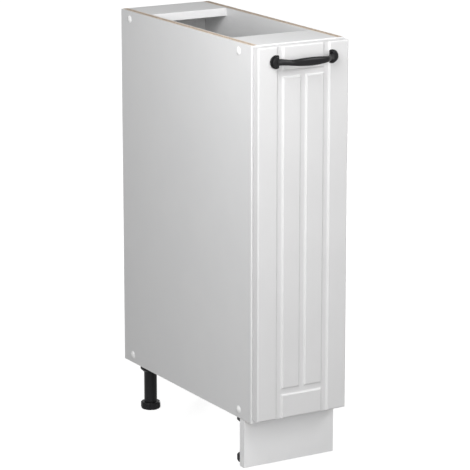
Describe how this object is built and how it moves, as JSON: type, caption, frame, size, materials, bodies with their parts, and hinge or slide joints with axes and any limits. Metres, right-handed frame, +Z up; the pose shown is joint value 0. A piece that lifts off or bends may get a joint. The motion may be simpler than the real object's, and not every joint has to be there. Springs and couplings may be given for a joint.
{
  "type": "pull-out pantry base unit",
  "caption": "Narrow white kitchen base unit on black legs: a routed front with a black bow handle pulls out a frame of wire baskets on ball runners.",
  "frame": {"origin": "centre of the bounding box on the floor plane under the feet", "axes": "+Z up, the front with the handle faces -Y, +X to the right when looking at the back from the front"},
  "size_m": [0.206, 0.5499, 0.816],
  "materials": {
    "white_board": "white melamine-faced chipboard, fine satin",
    "back_board": "white-faced thin fibreboard",
    "white_band": "white edge band, satin",
    "cap_plastic": "white moulded plastic",
    "cast_zinc": "raw zinc casting",
    "zinc_steel": "bright zinc-plated sheet and screws",
    "beech": "fluted beech dowel",
    "leg_plastic": "black moulded plastic",
    "cage_plastic": "dark ball cage plastic",
    "ball_steel": "polished steel balls",
    "frame_paint": "silver-grey powder coat",
    "chrome_wire": "chrome-plated welded wire",
    "front_film": "white film on routed fibreboard, satin",
    "bumper_rubber": "soft clear-white pad",
    "handle_black": "black satin coat on cast metal"
  },
  "bodies": {
    "carcass": {"left_side_panel": "white_board", "right_side_panel": "white_board", "bottom_panel": "white_board", "front_top_rail": "white_board", "rear_top_rail": "white_board", "back_panel": "back_board", "side_edge_bands": "white_band", "bottom_edge_band": "white_band", "front_rail_edge_band": "white_band", "rear_rail_edge_band": "white_band", "left_cover_caps": "cap_plastic", "right_cover_caps": "cap_plastic", "cam_housings": "cast_zinc", "cam_bolts": "zinc_steel", "leg_socket_screws": "zinc_steel", "runner_cabinet_screws": "zinc_steel", "left_runner_cabinet_member": "zinc_steel", "right_runner_cabinet_member": "zinc_steel", "dowels": "beech", "leg_socket_front_left": "leg_plastic", "leg_socket_front_right": "leg_plastic", "leg_socket_rear_left": "leg_plastic", "leg_socket_rear_right": "leg_plastic", "leg_tube_front_left": "leg_plastic", "leg_tube_front_right": "leg_plastic", "leg_tube_rear_left": "leg_plastic", "leg_tube_rear_right": "leg_plastic"},
    "foot_front_left": {"levelling_foot_front_left": "leg_plastic"},
    "foot_front_right": {"levelling_foot_front_right": "leg_plastic"},
    "foot_rear_left": {"levelling_foot_rear_left": "leg_plastic"},
    "foot_rear_right": {"levelling_foot_rear_right": "leg_plastic"},
    "plinth": {"plinth_board": "white_board", "plinth_clips": "leg_plastic", "plinth_clip_screws": "zinc_steel"},
    "runner_middles": {"left_runner_middle_member": "zinc_steel", "right_runner_middle_member": "zinc_steel"},
    "outer_cages": {"outer_ball_cages": "cage_plastic", "outer_balls": "ball_steel"},
    "inner_cages": {"inner_ball_cages": "cage_plastic", "inner_balls": "ball_steel"},
    "pullout": {"left_runner_drawer_member": "zinc_steel", "right_runner_drawer_member": "zinc_steel", "runner_drawer_screws": "zinc_steel", "post_foot_screws": "zinc_steel", "basket_hanger_screws": "zinc_steel", "front_bracket_screws": "zinc_steel", "handle_screws": "zinc_steel", "carriage": "frame_paint", "front_post": "frame_paint", "rear_post": "frame_paint", "post_foot_plates": "frame_paint", "top_bar": "frame_paint", "basket_hangers": "frame_paint", "front_brackets": "frame_paint", "lower_basket": "chrome_wire", "upper_basket": "chrome_wire", "front_panel": "front_film", "front_bumpers": "bumper_rubber", "bow_handle": "handle_black"}
  },
  "joints": [
    {"name": "pullout_slide", "type": "slide", "parent": "carcass", "child": "pullout", "axis": [0, -1, 0], "range_m": [0, 0.43]},
    {"name": "runner_middle_slide", "type": "slide", "parent": "carcass", "child": "runner_middles", "axis": [0, -1, 0], "range_m": [0, 0.215]},
    {"name": "outer_cage_roll", "type": "slide", "parent": "carcass", "child": "outer_cages", "axis": [0, -1, 0], "range_m": [0, 0.1075]},
    {"name": "inner_cage_roll", "type": "slide", "parent": "carcass", "child": "inner_cages", "axis": [0, -1, 0], "range_m": [0, 0.3225]},
    {"name": "plinth_pull", "type": "slide", "parent": "carcass", "child": "plinth", "axis": [0, -1, 0], "range_m": [0, 0.12]},
    {"name": "foot_screw_front_left", "type": "slide", "parent": "carcass", "child": "foot_front_left", "axis": [0, 0, -1], "range_m": [0, 0.02]},
    {"name": "foot_screw_front_right", "type": "slide", "parent": "carcass", "child": "foot_front_right", "axis": [0, 0, -1], "range_m": [0, 0.02]},
    {"name": "foot_screw_rear_left", "type": "slide", "parent": "carcass", "child": "foot_rear_left", "axis": [0, 0, -1], "range_m": [0, 0.02]},
    {"name": "foot_screw_rear_right", "type": "slide", "parent": "carcass", "child": "foot_rear_right", "axis": [0, 0, -1], "range_m": [0, 0.02]}
  ],
  "couplings": [
    {"joint": "runner_middle_slide", "follows": "pullout_slide", "ratio": 0.5},
    {"joint": "outer_cage_roll", "follows": "pullout_slide", "ratio": 0.25},
    {"joint": "inner_cage_roll", "follows": "pullout_slide", "ratio": 0.75}
  ]
}
